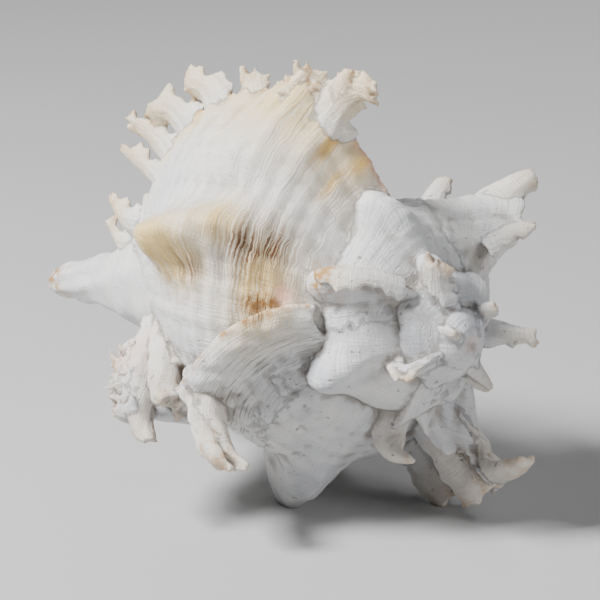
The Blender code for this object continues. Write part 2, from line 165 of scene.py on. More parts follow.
# Fronds: points (z, r, phi) from root to tip, half width at the root and at the tip, how leafy the
# rims are, from 0 for a plain horn to 1 for a torn leaf, and the way that the gutter opens, as a
# world direction, or None for the way that the shell grows
AWAY = (-0.4, 0.9, 0.3)
LEFT = (-0.9, 0.3, 0.2)
UNDER = (-0.3, 0.3, -0.9)
NEAR = (-0.2, -0.9, 0.2)
LIP_FRONDS = [
    ([(61, 57, -25.5), (54.5, 64, -24.5), (48.5, 72, -23), (43, 76.5, -22), (37, 77.5, -22),
      (33.5, 76.5, -22)], 11.5, 3.4, 0.7, None),
    ([(56, 64, -24), (50, 72, -24), (45, 78, -23.5), (42, 83, -23)], 6, 3, 0.7, None),
    ([(62, 60, -25), (60.8, 67, -24), (61, 72, -23), (62, 76.5, -22), (62.6, 81, -22)],
     10, 7, 0.9, None),
    ([(63, 66, -31), (61, 73, -29.5), (59, 79, -27.5)], 6, 4.5, 1.0, NEAR),
    ([(68, 60, -25), (70, 64, -24.5), (74, 69, -23), (77, 72.5, -22)], 8, 4.5, 0.5, None),
    ([(84, 58, -25), (86, 62, -24.5), (89.5, 67.5, -23), (92, 71.5, -22), (92.7, 74.5, -22)],
     9.5, 6, 0.7, None),
    ([(101, 54, -25), (105, 58, -24.5), (110, 64.4, -23), (115, 68, -22), (120.4, 69.4, -22),
      (125, 68, -22)], 11, 4.5, 0.9, None),
    ([(115, 46, -25), (119.5, 50.4, -24.5), (126.4, 56.8, -23), (133, 60.6, -22), (140, 62, -22),
      (147, 60, -22)], 11, 4.2, 0.9, None),
    ([(127, 39, -25), (132, 43, -24.5), (140, 49, -23), (147, 53.5, -22), (153, 56.6, -22),
      (158.5, 58.3, -22)], 9.5, 3.6, 0.8, None),
    ([(137, 31, -25), (141, 35, -24.5), (148, 39.4, -23), (154.7, 43, -22), (160, 46, -22),
      (165, 49, -22)], 7.5, 3.2, 0.8, None),
    ([(156, 22, -27), (168, 24, -25), (176, 31, -21)], 7, 3.6, 0.7, None),
    ([(164, 15, -28), (174, 15, -25), (181, 22, -21)], 5, 2.8, 0.6, None),
]
OLD_FRONDS = [
    # On the first varix back from the lip: the mass behind its torn sheet, the foot of its spine,
    # the curved spine itself, the sheet, its leaf with small fronds along it, and a last frond
    ([(108, 40, -114), (98, 46, -116), (90, 52, -117.5), (82, 57, -119)], 8, 5.5, 0.0, AWAY),
    ([(111, 42, -116), (102, 52, -118), (92, 62, -120.5)], 6.5, 4.5, 0.0, AWAY),
    ([(71, 56, -119), (62, 64, -122.5), (55, 68.5, -125.5), (48, 71, -127.5)], 5, 2.0, 0.0, AWAY),
    ([(62, 38, -106), (68, 46, -113), (71, 52, -119.5), (69, 57, -122), (64, 62.5, -124.5),
      (58, 66.5, -127), (51, 69, -128.5), (45, 70, -130), (39, 69, -131)], 12, 1.2, 0.0, LEFT),
    ([(84, 50, -116), (78, 55, -118), (69, 62.5, -119.5), (61.5, 67.5, -121.5), (54, 71, -124),
      (47, 73, -126), (42, 72.5, -128)], 7, 2.4, 0.8, AWAY),
    ([(104, 42, -116), (97, 50, -117), (88, 58, -119), (80, 64, -120.5), (73, 67.5, -122)],
     9, 6, 0.2, AWAY),
    ([(112, 42, -117), (105.5, 49, -118), (96, 60, -120), (87.5, 68.7, -122), (80.7, 75, -124),
      (73, 78.7, -126)], 8.5, 2.4, 0.2, AWAY),
    ([(106, 50, -116.5), (109, 51, -117), (113, 51, -117)], 5.5, 4, 1.0, AWAY),
    ([(101, 56, -118), (105, 57, -118), (110, 57.5, -118)], 6, 4, 1.0, AWAY),
    ([(97, 60, -119), (100, 62, -119), (104, 62.5, -119)], 5.5, 3.5, 1.0, AWAY),
    ([(92, 65, -120), (96, 67, -120), (100, 67.5, -120)], 6, 4, 1.0, AWAY),
    ([(87, 69, -121), (90, 71, -121), (93.5, 72, -121)], 5, 3.5, 1.0, AWAY),
    ([(83, 72, -122), (86, 74.5, -122), (90, 75.5, -122)], 6, 3.5, 1.0, AWAY),
    ([(114, 36, -121), (115, 44, -121), (113, 52, -121)], 7, 2.4, 0.2, AWAY),
    # On the second varix: its shoulder spine, its frilled edge and the fronds that it rests on
    ([(42, 32, -214), (38.6, 37, -214), (31.3, 46.6, -214), (22, 52.5, -215), (9, 49, -216),
      (-0.5, 43, -217)], 8, 2.6, 0.1, AWAY),
    ([(40, 34, -214), (35.5, 42, -214), (29.7, 49.5, -213), (23.7, 56, -212), (20, 60.5, -212)],
     9, 9, 0.4, AWAY),
    ([(54, 44, -213), (50, 50, -213), (46, 57.8, -213), (41, 62.6, -212), (39, 67, -212)],
     9, 9, 0.4, AWAY),
    ([(84, 50, -217), (92, 60, -210), (104, 70, -207)], 9, 3.4, 0.7, None),
    ([(100, 34, -218), (112, 50, -210), (126, 65, -204)], 9, 3.4, 0.7, None),
    # On the third varix
    ([(44, 34, -319), (41, 48, -318), (37, 66, -316)], 8, 3.8, 0.2, None),
    ([(29, 34, -319), (25, 41, -318), (20, 47.5, -316)], 6, 2.6, 0.4, None),
    ([(60, 38, -318), (65, 46, -317), (68, 54, -316)], 6, 3.6, 0.3, None),
    ([(76, 30, -320), (84, 36, -320), (90, 40, -320)], 6, 2.6, 0.4, None),
    # The rounded crest of the fourth varix, with its broken end
    ([(21, 22, -411), (24, 27.5, -417), (27.5, 33, -423), (31.5, 36, -426.5), (37, 38, -430)],
     4.2, 5.4, 0.7, UNDER),
    # On the fifth varix, hanging below the spire
    ([(31, 16, -537), (33, 24, -540), (36, 31, -540), (35, 37, -540), (29.5, 40, -540),
      (22.7, 40.3, -540)], 7.5, 1.5, 0.0, AWAY),
    ([(40, 28, -541), (43, 35, -542), (44.5, 41, -542)], 5, 2.2, 0.2, None),
    # On the spire
    ([(22, 16, -622), (18, 22, -627), (15, 28, -628), (13, 33, -629)], 10, 5, 0.3, None),
    ([(18, 13, -735), (17.5, 20, -738), (15.5, 27, -740)], 7, 5.5, 0.7, None),
    ([(16, 11, -836), (15, 18, -836), (12.5, 23, -835)], 6, 4.4, 0.5, None),
    ([(14, 10, -938), (11, 15, -940), (8, 20, -943)], 5, 2.0, 0.0, None),
    ([(13, 8, -1034), (11, 12, -1037), (8.5, 16, -1038)], 4, 2.6, 0.2, None),
    ([(9, 6, -1138), (6, 10, -1142), (1, 12, -1146)], 2.8, 1.6, 0.0, None),
]

# Below this a frond counts as a solid horn
SOLID_BELOW = 0.25

# How far the rims reach around the centre line, in degrees, for a horn and for an open gutter,
# by how much a leafy one is flatter at its tip, and how the width tapers
SOLID_REACH = 135
OPEN_REACH = 105
LEAF_FLATTER = 35
SOLID_TAPER = 2.0
OPEN_TAPER = 0.9

# Share of its half width that a horn and a thin gutter are thick, and how flat a frond is
SOLID_SHARE = 0.85
THIN_SHARE = 0.7
FROND_DEPTH = 0.8

# Fronds past this phi belong to the present lip
YOUNG_AFTER = -35

# Folds that run over the back of the lip to its fronds: share along the outline, height, and width
# as a share
LIP_FOLDS = [(0.19, 1.6, 0.022), (0.27, 2.6, 0.024), (0.335, 1.4, 0.018), (0.385, 1.4, 0.018),
             (0.455, 2.4, 0.024), (0.545, 2.6, 0.026), (0.64, 2.8, 0.026), (0.735, 2.6, 0.024),
             (0.81, 2.2, 0.02), (0.88, 1.8, 0.018), (0.945, 1.4, 0.016)]

# How many folds an old varix has along its outline
OLD_FOLDS = 17

# Stains: kind, phi and share at their middle, half spans in degrees and share, strength
STAINS = [
    ("cream", -78, 0.37, 10, 0.09, 1.3),
    ("cream", -66, 0.27, 9, 0.07, 1.0),
    ("tan", -84, 0.40, 4, 0.07, 0.8),
    ("brown", -81, 0.32, 5, 0.03, 1.0),
    ("brown", -71, 0.20, 9, 0.05, 1.2),
    ("brown", -66, 0.15, 9, 0.035, 1.2),
    ("brown", -88, 0.165, 4, 0.03, 1.7),
    ("pink", -81, 0.11, 4, 0.02, 1.2),
    ("tan", -86, 0.155, 7, 0.035, 1.6),
    ("cream", -80, 0.16, 18, 0.08, 1.2),
    ("cream", -30, 0.3, 12, 0.25, 0.9),
    ("cream", -28, 0.6, 8, 0.3, 0.8),
    ("yellow", -30, 0.165, 5, 0.012, 1.2),
    ("yellow", -24, 0.105, 5, 0.012, 1.2),
    ("yellow", -35, 0.115, 7, 0.010, 1.0),
    ("cream", -24, 0.12, 8, 0.07, 0.8),
]

# Spots: kind, place from the apex in millimetres as x, y and z, half span in millimetres, strength
SPOTS = [
    # On the broken end of the fourth varix
    ("tan", (-49, 7, 21), 6, 1.6),
    # On the first varix: its spine, the edge of its sheet, and its leaf
    ("tan", (-85, 27, -15), 4, 1.0),
    ("tan", (-87, 14, -23), 5, 0.9),
    ("tan", (-82, -1, -29), 5, 1.0),
    ("pink", (-103, 46, -18), 9, 1.0),
    # On the spine of the second varix
    ("tan", (-7, 38, -41), 6, 1.0),
    ("tan", (2, 33, -46), 5, 1.0),
    ("tan", (12, 18, -42), 4, 0.9),
]


# Curves and the growth law


def through(knots, at):
    """Values at the given places of a smooth curve through knots, a list of (place, value, ...)."""
    table = np.array(knots, dtype=float)
    places, values = table[:, 0], table[:, 1:]
    slope = np.gradient(values, places, axis=0)
    at = np.clip(np.asarray(at, dtype=float), places[0], places[-1])
    left = np.clip(np.searchsorted(places, at, side="right") - 1, 0, len(places) - 2)
    span = (places[left + 1] - places[left])[..., None]
    t = ((at - places[left])[..., None]) / span
    a, b = values[left], values[left + 1]
    sa, sb = slope[left] * span, slope[left + 1] * span
    return (a * (2 * t**3 - 3 * t**2 + 1) + sa * (t**3 - 2 * t**2 + t)
            + b * (3 * t**2 - 2 * t**3) + sb * (t**3 - t**2))


def with_places(points):
    """The points with their share of the length along them in front."""
    table = np.array(points, dtype=float)
    steps = np.linalg.norm(np.diff(table, axis=0), axis=1)
    shares = np.concatenate([[0.0], np.cumsum(steps)]) / steps.sum()
    return np.column_stack([shares, table])


def bump(x):
    return np.exp(-np.square(x))


def smooth_step(x):
    x = np.clip(x, 0.0, 1.0)
    return x * x * (3 - 2 * x)


OUTLINE_KNOTS = with_places(OUTLINE)


def growth(phi):
    """Size of the whorl at phi, with 1 at the outer lip."""
    return WHORL_GROWTH ** ((np.asarray(phi) - LIP_PHI) / 360.0)


def outline_normal(v):
    """Unit (z, r) direction that points out of the whorl at share v along its outline."""
    step = 0.004
    d = through(OUTLINE_KNOTS, v + step) - through(OUTLINE_KNOTS, v - step)
    n = np.stack([-d[..., 1], d[..., 0]], axis=-1)
    return n / np.linalg.norm(n, axis=-1, keepdims=True)


def knob_height(phi, v):
    """Height of the knobs between varices, at lip size: ridges that peak at the shoulder."""
    height = np.zeros(np.broadcast(phi, v).shape)
    for at, tall, width, peak, reach in KNOBS:
        lean = KNOB_LEAN * np.clip(peak - v, 0, None)
        along = np.where(v < peak, bump((v - peak) / reach), bump((v - peak) / KNOB_REACH))
        height += tall * bump((phi - lean - at) / width) * along
    return height


def wrinkles(phi, v):
    """Low growth ridges and spiral swellings of a whorl, at lip size."""
    ridges = 0.5 * np.sin(phi * 0.9 + 9 * v) * np.sin(phi * 0.23 + 2)
    steps = 0.8 * np.sin(phi * 2.4 + 30 * v) * bump((phi + 168) / 9) * bump((v - 0.42) / 0.12)
    cords = 0.45 * np.sin(v * 2 * math.pi * 23 + 0.6 * np.sin(phi / 17))
    return ridges + steps + cords * smooth_step(v / 0.2)


def whorl(phi, v):
    """The (z, r) of the whorl's outer surface, without flares."""
    phi, v = np.broadcast_arrays(np.asarray(phi, float), np.asarray(v, float))
    height = knob_height(phi, v) + wrinkles(phi, v)
    zr = through(OUTLINE_KNOTS, v) + outline_normal(v) * height[..., None]
    return zr * growth(phi)[..., None]


def canal_bend(z):
    """How far the axis has bent away from UP at z, because the canal curves back."""
    return CANAL_SLOPE * CANAL_EASE * np.log1p(np.exp((z - CANAL_BEND_FROM) / CANAL_EASE))


def place(z, r, phi):
    """World points, in metres, of shell coordinates."""
    z, r, phi = np.broadcast_arrays(np.asarray(z, float), r, phi)
    angle = np.radians(phi)
    up = r * np.cos(angle) - canal_bend(z)
    side = r * np.sin(angle)
    world = z[..., None] * AXIS + up[..., None] * UP + side[..., None] * SIDE
    return (world + np.array(APEX_AT)) * MM


# Closed meshes from grids of points, with what the material needs to know at each point

# Cord and age are places in millimetres, and the others are strengths from 0 up
PAINTS = ("cord", "age", "inside", "cream", "brown", "tan", "pink", "worn", "yellow", "grooved")

# Those that a lining hides on the inner side
OUTER_PAINTS = ("cream", "brown", "tan", "worn", "yellow", "grooved")


def closed_skin(outer, inner):
    """Vertices and triangles of the closed solid between two grids of points of the same shape."""
    rows, columns = outer.shape[:2]
    count = rows * columns
    points = np.concatenate([outer.reshape(-1, 3), inner.reshape(-1, 3)])
    index = np.arange(count).reshape(rows, columns)
    a, b = index[:-1, :-1].ravel(), index[:-1, 1:].ravel()
    c, d = index[1:, 1:].ravel(), index[1:, :-1].ravel()
    front = np.concatenate([np.stack([a, b, c], 1), np.stack([a, c, d], 1)])
    back = front[:, ::-1] + count
    rim = np.concatenate([index[0, :], index[1:, -1], index[-1, -2::-1], index[-2:0:-1, 0]])
    after = np.roll(rim, -1)
    sides = np.concatenate([np.stack([after, rim, rim + count], 1),
                            np.stack([after, rim + count, after + count], 1)])
    return points, np.concatenate([front, back, sides])


class Heap:
    """Closed solids that overlap, collected to be joined into one shell."""

    def __init__(self):
        self.count = 0
        self.points = []
        self.faces = []
        self.paints = []

    def add(self, outer, inner, lining=1.0, **paint):
        """Adds the solid between two grids; lining is how much the inner one is an inside."""
        points, faces = closed_skin(outer, inner)
        self.points.append(points)
        self.faces.append(faces + self.count)
        self.count += len(points)
        shape = outer.shape[:2]
        both = np.zeros((2, *shape, len(PAINTS)))
        for name, values in paint.items():
            both[..., PAINTS.index(name)] = np.broadcast_to(values, shape)
        for name in OUTER_PAINTS:
            both[1, ..., PAINTS.index(name)] *= 1 - lining
        both[1, ..., PAINTS.index("inside")] = lining
        self.paints.append(both.reshape(-1, len(PAINTS)))

    def arrays(self):
        return np.concatenate(self.points), np.concatenate(self.faces), np.concatenate(self.paints)


def stains(phi, v):
    """How strong each kind of stain is at places of the whorl."""
    found = {}
    for kind, at_phi, at_v, wide, long, strength in STAINS:
        spot = strength * bump((phi - at_phi) / wide) * bump((v - at_v) / long)
        found[kind] = np.maximum(found.get(kind, 0), spot)
    return found


def whorl_paint(phi, v):
    """Places and stains of points on a whorl: cord and age are millimetres across and along it."""
    turn = np.round((phi - LIP_PHI) / 360)
    paint = stains(phi, v)
    paint["cord"] = v * OUTLINE_LENGTH * WHORL_GROWTH ** turn
    paint["age"] = SHOULDER_RADIUS * growth(phi) * 2 * math.pi / math.log(WHORL_GROWTH)
    paint["worn"] = smooth_step((-85 - phi) / 40)
    return paint


# The whorls


def whorl_grid(start, end, fineness):
    """Grids of phi and of the share along the outline."""
    rows, step = fineness
    return np.meshgrid(np.arange(start, end, step), np.linspace(0, 1, rows), indexing="ij")


def add_older_whorls(heap):
    """The spire and the first part of the last whorl, filled to the axis."""
    phi, v = whorl_grid(FIRST_PHI, HOLLOW_FROM, OLDER_GRID)
    zr = whorl(phi, v)
    heap.add(place(zr[..., 0], zr[..., 1], phi), place(zr[..., 0], 0.3 * growth(phi), phi),
             **whorl_paint(phi, v))


def add_last_whorl(heap):
    """The wall around the hollow, up to just behind the outer lip."""
    phi, v = whorl_grid(HOLLOW_FROM - 16, LIP_PHI - 14, LAST_GRID)
    outer = whorl(phi, v)
    inner = outer - outline_normal(v) * (WALL * growth(phi) ** 0.3)[..., None]
    heap.add(place(outer[..., 0], outer[..., 1], phi), place(inner[..., 0], inner[..., 1], phi),
             **whorl_paint(phi, v))


def add_axis(heap):
    """The columella, a spindle around the axis that the last whorl turns around."""
    spindle = [(40, 17), (62, 17), (80, 15), (105, 13), (135, 11), (160, 10), (178, 6)]
    z, phi = np.meshgrid(np.linspace(40, 178, 90), np.linspace(0, 352, 60), indexing="ij")
    r = through(spindle, z)[..., 0] + 0.8 * np.sin(np.radians(phi * 2) + z / 12)
    heap.add(place(z, r, phi), place(z, 0.2, phi), cord=z, age=phi, pink=0.8)


def add_canal(heap):
    """The siphonal canal, a tapering gutter that stays open towards the aperture."""
    radius = [(134, 25), (155, 19), (169, 15), (180, 11), (200, 7.6), (214, 5.2), (CANAL_END, 4)]
    gap = [(134, 75), (158, 34), (180, 22), (CANAL_END, 22)]
    thick = [(134, 17), (160, 10), (180, 3.8), (CANAL_END, 2.8)]
    z, t = np.meshgrid(np.linspace(134, CANAL_END, 90), np.linspace(0, 1, 90), indexing="ij")
    half = through(gap, z)[..., 0]
    phi = 38 + half + (360 - 2 * half) * t
    r = through(radius, z)[..., 0] + 0.35 * np.sin(t * 40 + z / 9) + 0.4 * np.sin(z / 2.6 + 3 * t)
    inner_side = through(thick, z)[..., 0]
    wall = inner_side + (0.8 * WALL - inner_side) * smooth_step((t - 0.55) / 0.3)
    tip = smooth_step((z - 200) / 16)
    heap.add(place(z, r, phi), place(z, np.maximum(r - wall, 1.2), phi), cord=r * np.radians(phi),
             age=z, tan=tip)


# The varices and their fronds


# In these functions g is the share of the flare, from 0 where it starts to 1 at its edge


def lip_folds(v, g):
    """Height of the folds on the back of the lip, stronger towards its edge."""
    height = np.zeros(np.broadcast(v, g).shape)
    for at, tall, width in LIP_FOLDS:
        height += tall * bump((v - at) / (width * (1.7 - 0.7 * g)))
    return (height - 0.8) * smooth_step(g / 0.9)


def flare_relief(v, g, degrees, size, fold_height, groove, lip):
    """Height of the folds, crinkles and growth grooves of a varix or of the lip."""
    crinkle = 0.5 * np.sin(v * 150 + 3 * np.sin(v * 37)) * g ** 6 * size
    if lip:
        return crinkle + lip_folds(v, g)
    back = degrees * (1 - g)
    folds = fold_height * np.sin(v * 2 * math.pi * OLD_FOLDS) * g * size
    folds = folds + 0.5 * groove * (1 + np.sin(back * 2 + 2 * v)) * bump((g - 0.5) / 0.25) * size
    return crinkle + folds


def flare_paint(phi, v, g, degrees, size, groove, lip):
    """The whorl's paint, with what a varix or the lip changes in it."""
    paint = whorl_paint(phi, v)
    rim = smooth_step((g - 0.92) / 0.08) * (0.25 + 0.75 * smooth_step((phi + 140) / 10))
    paint["tan"] = np.maximum(paint["tan"], rim)
    if lip:
        paint["pink"] = smooth_step((g - 0.93) / 0.07) * bump(v / 0.2)
        return paint
    paint["age"] = SHOULDER_RADIUS * size * np.radians(-(degrees * (1 - g)))
    paint["grooved"] = groove * bump((g - 0.5) / 0.3)
    return paint


def add_flare(heap, edge, degrees, profile, fold_height, groove, lip=False):
    """The shell flaring out to its present lip, which stays thin, or to an old one."""
    rows, columns = FLARE_GRID
    g, v = np.meshgrid(np.linspace(0, 1, columns), np.linspace(0, 1, rows), indexing="ij")
    edge_at = through(edge, v)
    phi = edge_at[..., 2] - degrees * (1 - g)
    rise = (edge_at[..., :2] - whorl(edge_at[..., 2], v)) * through(profile, g)
    size = growth(phi)
    tall = np.linalg.norm(rise, axis=-1)
    relief = flare_relief(v, g, degrees, size, fold_height, groove, lip)
    lift = np.maximum(relief, -0.8 * tall) + SKIN_LIFT * smooth_step(g / 0.12)
    out = outline_normal(v)
    outer = whorl(phi, v) + rise + out * lift[..., None]
    filled = 0 if lip else 1 - smooth_step((g - 0.55) / 0.4)
    inner = outer - out * (EDGE_WALL + filled * tall)[..., None]
    heap.add(place(outer[..., 0], outer[..., 1], phi), place(inner[..., 0], inner[..., 1], phi),
             1.0 if lip else 0.15, **flare_paint(phi, v, g, degrees, size, groove, lip))


def spire_edge(phi, flare):
    """The edge of a small varix: the whorl's outline moved out by the flare."""
    knots = []
    for v, share in SPIRE_PROFILE:
        at = phi + SPIRE_LEAN * (SPIRE_CREST - v) if v < SPIRE_CREST else phi
        zr = whorl(at, v) + outline_normal(v) * flare * share * growth(at)
        knots.append((v, zr[0], zr[1], at))
    return knots


def along_frond(points):
    """Places, length and directions of a frond's centre line, in millimetres."""
    knots = with_places([tuple(place(*p) / MM) for p in points])
    centre = through(knots, np.linspace(0, 1, FROND_GRID[1]))
    steps = np.diff(centre, axis=0)
    length = np.linalg.norm(steps, axis=1).sum()
    tangent = np.gradient(centre, axis=0)
    return centre, length, tangent / np.linalg.norm(tangent, axis=1, keepdims=True)


def opening_way(points, tangent, way):
    """Unit directions, square to the tangent, in which the gutter opens."""
    if way is None:
        way = place(points[0][0], points[0][1], points[0][2] + 2) - place(*points[0])
    front = np.array(way) / np.linalg.norm(way)
    front = front - tangent * (tangent @ front)[:, None]
    return front / np.linalg.norm(front, axis=1, keepdims=True)


def frond_paint(young, leafy, t, length, cord):
    """What the material needs to know on a frond, with t the share from its root to its tip."""
    return {"cord": cord,
            "age": t * length,
            "cream": 0.55 * smooth_step((t - 0.2) / 0.5) if young else 0.3 * t,
            "tan": (0.3 + 0.5 * leafy) * smooth_step((t - 0.75) / 0.25),
            "worn": 0.0 if young else 1.0}


def add_frond(heap, points, root, tip, leafy, way, seed):
    """A horn with an open gutter on one side; a leafy one has frilled and torn rims."""
    centre, length, tangent = along_frond(points)
    front = opening_way(points, tangent, way)
    across = np.cross(tangent, front)
    columns, rows = FROND_GRID
    t, a = np.meshgrid(np.linspace(0, 1, rows), np.linspace(-1, 1, columns), indexing="ij")
    young = points[0][2] > YOUNG_AFTER
    solid = leafy < SOLID_BELOW
    half = root + (tip - root) * t[:, :1] ** (SOLID_TAPER if solid else OPEN_TAPER)
    if young:
        half = half * (0.55 + 0.45 * smooth_step(t[:, :1] / 0.35))
    wall = SOLID_SHARE * half if solid else np.minimum(FROND_WALL, THIN_SHARE * half)
    reach_to = math.radians(SOLID_REACH if solid else OPEN_REACH)
    reach_to = reach_to - math.radians(LEAF_FLATTER) * leafy * t

    rim = np.abs(a) ** 2.5
    side = seed * 1.7 + np.where(a > 0, 1.9, 0.0)
    teeth = np.sin(t * (15 + 4 * math.sin(seed)) + side) + 0.5 * np.sin(t * 37 + seed + a)
    ruffle = leafy * (1.1 + 1.3 * t) * rim * teeth
    grooves = 0.35 * np.cos(a * math.pi * 6 + seed) * (0.3 + leafy)
    lobes = leafy * t ** 5 * (2.2 * np.cos(a * 7.5 + seed) + 1.2 * np.cos(a * 17 + 2 * seed))

    def section(radius):
        reach = radius + ruffle + grooves
        sideways = (reach * np.sin(a * reach_to))[..., None] * across[:, None]
        back = reach * np.cos(a * reach_to) * FROND_DEPTH - 0.8 * ruffle
        back = back[..., None] * front[:, None]
        return (centre[:, None] + sideways - back + lobes[..., None] * tangent[:, None]) * MM

    paint = frond_paint(young, leafy, t, length, half * a * reach_to + 31 * seed)
    heap.add(section(half + 0 * a), section(half - wall + 0 * a), 0.1, **paint)


# Joining and shaping the whole


def all_parts():
    """Points, triangles and paints of all the solids that overlap."""
    heap = Heap()
    add_older_whorls(heap)
    add_last_whorl(heap)
    add_axis(heap)
    add_canal(heap)
    add_flare(heap, LIP_EDGE, LIP_DEGREES, SWEEP, 0.0, 0.0, lip=True)
    for varix in VARICES:
        add_flare(heap, *varix)
    for phi, flare, degrees in SPIRE_VARICES:
        add_flare(heap, spire_edge(phi, flare), degrees, ROLL, 0.0, SPIRE_GROOVE)
    for seed, frond in enumerate(LIP_FRONDS + OLD_FRONDS):
        add_frond(heap, *frond, seed + 1)
    return heap.arrays()


def mesh_of(points, faces, name):
    mesh = bpy.data.meshes.new(name)
    mesh.from_pydata(points.tolist(), [], faces.tolist())
    mesh.update()
    return mesh


def joined(points, faces):
    """One closed skin around all the overlapping solids."""
    crowd = bpy.data.objects.new("crowd", mesh_of(points, faces, "crowd"))
    bpy.context.scene.collection.objects.link(crowd)
    remesh = crowd.modifiers.new("Join", "REMESH")
    remesh.mode = "VOXEL"
    remesh.voxel_size = VOXEL * MM
    smooth = crowd.modifiers.new("Smooth", "SMOOTH")
    smooth.factor = 0.5
    smooth.iterations = SMOOTHINGS
    mesh = evaluated(crowd)
    bpy.data.objects.remove(crowd)
    return mesh


def evaluated(thing):
    """A new mesh of an object as its modifiers leave it."""
    graph = bpy.context.evaluated_depsgraph_get()
    return bpy.data.meshes.new_from_object(thing.evaluated_get(graph))


def vertex_table(mesh, what="co"):
    """Places or normals of a mesh's vertices, one row each."""
    table = np.empty(len(mesh.vertices) * 3)
    mesh.vertices.foreach_get(what, table)
    return table.reshape(-1, 3)


def roughened(mesh):
    """Moves every vertex a little along its normal, in low uneven lumps."""
    at, normal = vertex_table(mesh), vertex_table(mesh, "normal")
    lumps = np.array([noise.noise(Vector(p) * 130) + 0.6 * noise.noise(Vector(p) * 290)
                      for p in at])
    at += normal * (lumps * LUMPS * MM)[:, None]
    mesh.vertices.foreach_set("co", at.ravel())
    mesh.update()


def thinned(mesh, triangles):
    """The mesh with about so many triangles."""
    count = sum(len(p.vertices) - 2 for p in mesh.polygons)
    whole = bpy.data.objects.new("whole", mesh)
    bpy.context.scene.collection.objects.link(whole)
    thin = whole.modifiers.new("Thin", "DECIMATE")
    thin.ratio = min(1.0, triangles / count)
    result = evaluated(whole)
    bpy.data.objects.remove(whole)
    return result


def cut_level(mesh):
    """Rubs the resting points flat on the ground plane."""
    bm = bmesh.new()
    bm.from_mesh(mesh)
    whole = bm.verts[:] + bm.edges[:] + bm.faces[:]
    cut = bmesh.ops.bisect_plane(bm, geom=whole, plane_co=(0, 0, 0), plane_no=(0, 0, 1),
                                 clear_inner=True)
    rim = [e for e in cut["geom_cut"] if isinstance(e, bmesh.types.BMEdge)]
    bmesh.ops.edgeloop_fill(bm, edges=rim)
    bmesh.ops.triangulate(bm, faces=bm.faces)
    bmesh.ops.recalc_face_normals(bm, faces=bm.faces)
    bm.to_mesh(mesh)
    bm.free()


def kept_in_box(mesh):
    """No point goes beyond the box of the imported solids."""
    at = vertex_table(mesh)
    low, high = np.array(CAD_BOX[0]), np.array(CAD_BOX[1])
    mesh.vertices.foreach_set("co", np.clip(at, low, high).ravel())
    mesh.update()


def paint_over(mesh, points, faces, paints):
    """Gives each vertex the paints of the nearest spot on the solids that were joined."""
    tree = BVHTree.FromPolygons(points.tolist(), faces.tolist(), all_triangles=True)
    at = vertex_table(mesh)
    hits = [tree.find_nearest(p) for p in at.tolist()]
    spot = np.array([tuple(h[0]) for h in hits])
    corners = faces[[h[2] for h in hits]]
    a, b, c = points[corners[:, 0]], points[corners[:, 1]], points[corners[:, 2]]
    whole = np.linalg.norm(np.cross(b - a, c - a), axis=1)
    whole = np.maximum(whole, 1e-14)
    share_a = np.linalg.norm(np.cross(b - spot, c - spot), axis=1) / whole
    share_b = np.linalg.norm(np.cross(c - spot, a - spot), axis=1) / whole
    share_a = np.clip(share_a, 0, 1)
    share_b = np.clip(share_b, 0, 1 - share_a)
    shares = np.stack([share_a, share_b, 1 - share_a - share_b], 1)
    found = (paints[corners] * shares[..., None]).sum(1)
    for kind, spot_at, reach, strength in SPOTS:
        away = np.linalg.norm(at / MM - np.array(APEX_AT) - spot_at, axis=1)
        k = PAINTS.index(kind)
        found[:, k] = np.maximum(found[:, k], strength * bump(away / reach))
    for k, name in enumerate(PAINTS):
        layer = mesh.attributes.new(name, "FLOAT", "POINT")
        layer.data.foreach_set("value", found[:, k].astype(np.float32))


def hollows(mesh):
    """Adds an attribute that is above 0 in hollows and below 0 on ridges."""
    ends = np.empty(len(mesh.edges) * 2, dtype=int)
    mesh.edges.foreach_get("vertices", ends)
    a, b = ends.reshape(-1, 2).T
    at, normal = vertex_table(mesh), vertex_table(mesh, "normal")
    count = np.bincount(np.concatenate([a, b]), minlength=len(at))

    def neighbours(values):
        total = np.zeros_like(values)
        np.add.at(total, a, values[b])
        np.add.at(total, b, values[a])
        return total / np.maximum(count, 1).reshape(-1, *[1] * (values.ndim - 1))

    smooth = at
    for _ in range(6):
        smooth = neighbours(smooth)
    depth = ((smooth - at) * normal).sum(1) / MM
    depth = neighbours(depth)
    layer = mesh.attributes.new("hollow", "FLOAT", "POINT")
    layer.data.foreach_set("value", depth.astype(np.float32))


# The material


